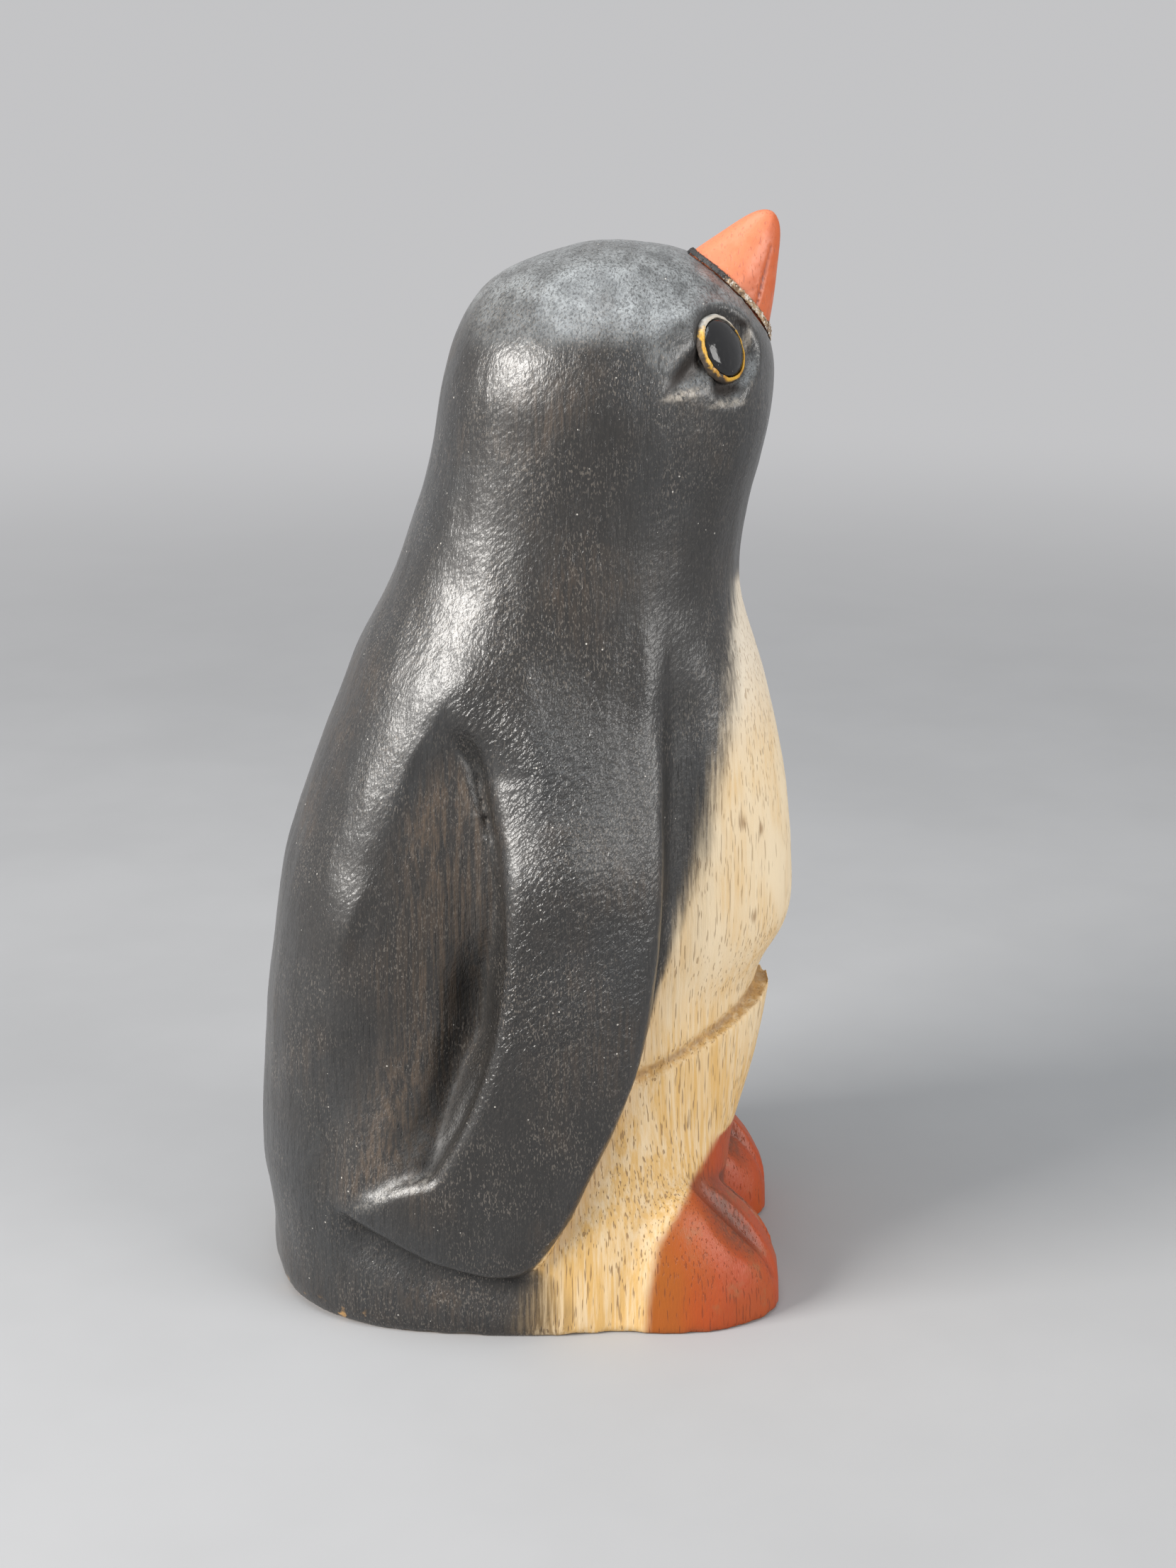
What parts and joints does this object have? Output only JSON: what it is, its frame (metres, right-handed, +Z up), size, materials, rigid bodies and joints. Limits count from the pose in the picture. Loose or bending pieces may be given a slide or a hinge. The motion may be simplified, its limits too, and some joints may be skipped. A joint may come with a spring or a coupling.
{
  "type": "penguin figurine",
  "caption": "Standing carved wooden penguin with relief flippers and feet, a raised glued-on beak and domed eyes with painted rings, an ornament for a shelf",
  "frame": {"origin": "middle of the footprint box on the surface that the figurine stands on", "axes": "+Z up, the penguin faces -Y, its right side is -X"},
  "size_m": [0.0795, 0.091, 0.1788],
  "materials": {
    "stained_wood": "satin black stain over open-grained wood, cream belly, orange feet",
    "orange_beak": "satin orange paint over wood",
    "bare_wood": "bare dowel",
    "wood_filler": "rough tan filler",
    "black_eye": "glossy black",
    "yellow_ring": "uneven hand-painted yellow"
  },
  "bodies": {
    "root": {"body": "stained_wood", "beak": "orange_beak", "beak_dowel": "bare_wood", "beak_filler": "wood_filler", "right_eye": "black_eye", "left_eye": "black_eye", "right_eye_ring": "yellow_ring", "left_eye_ring": "yellow_ring"}
  },
  "joints": []
}
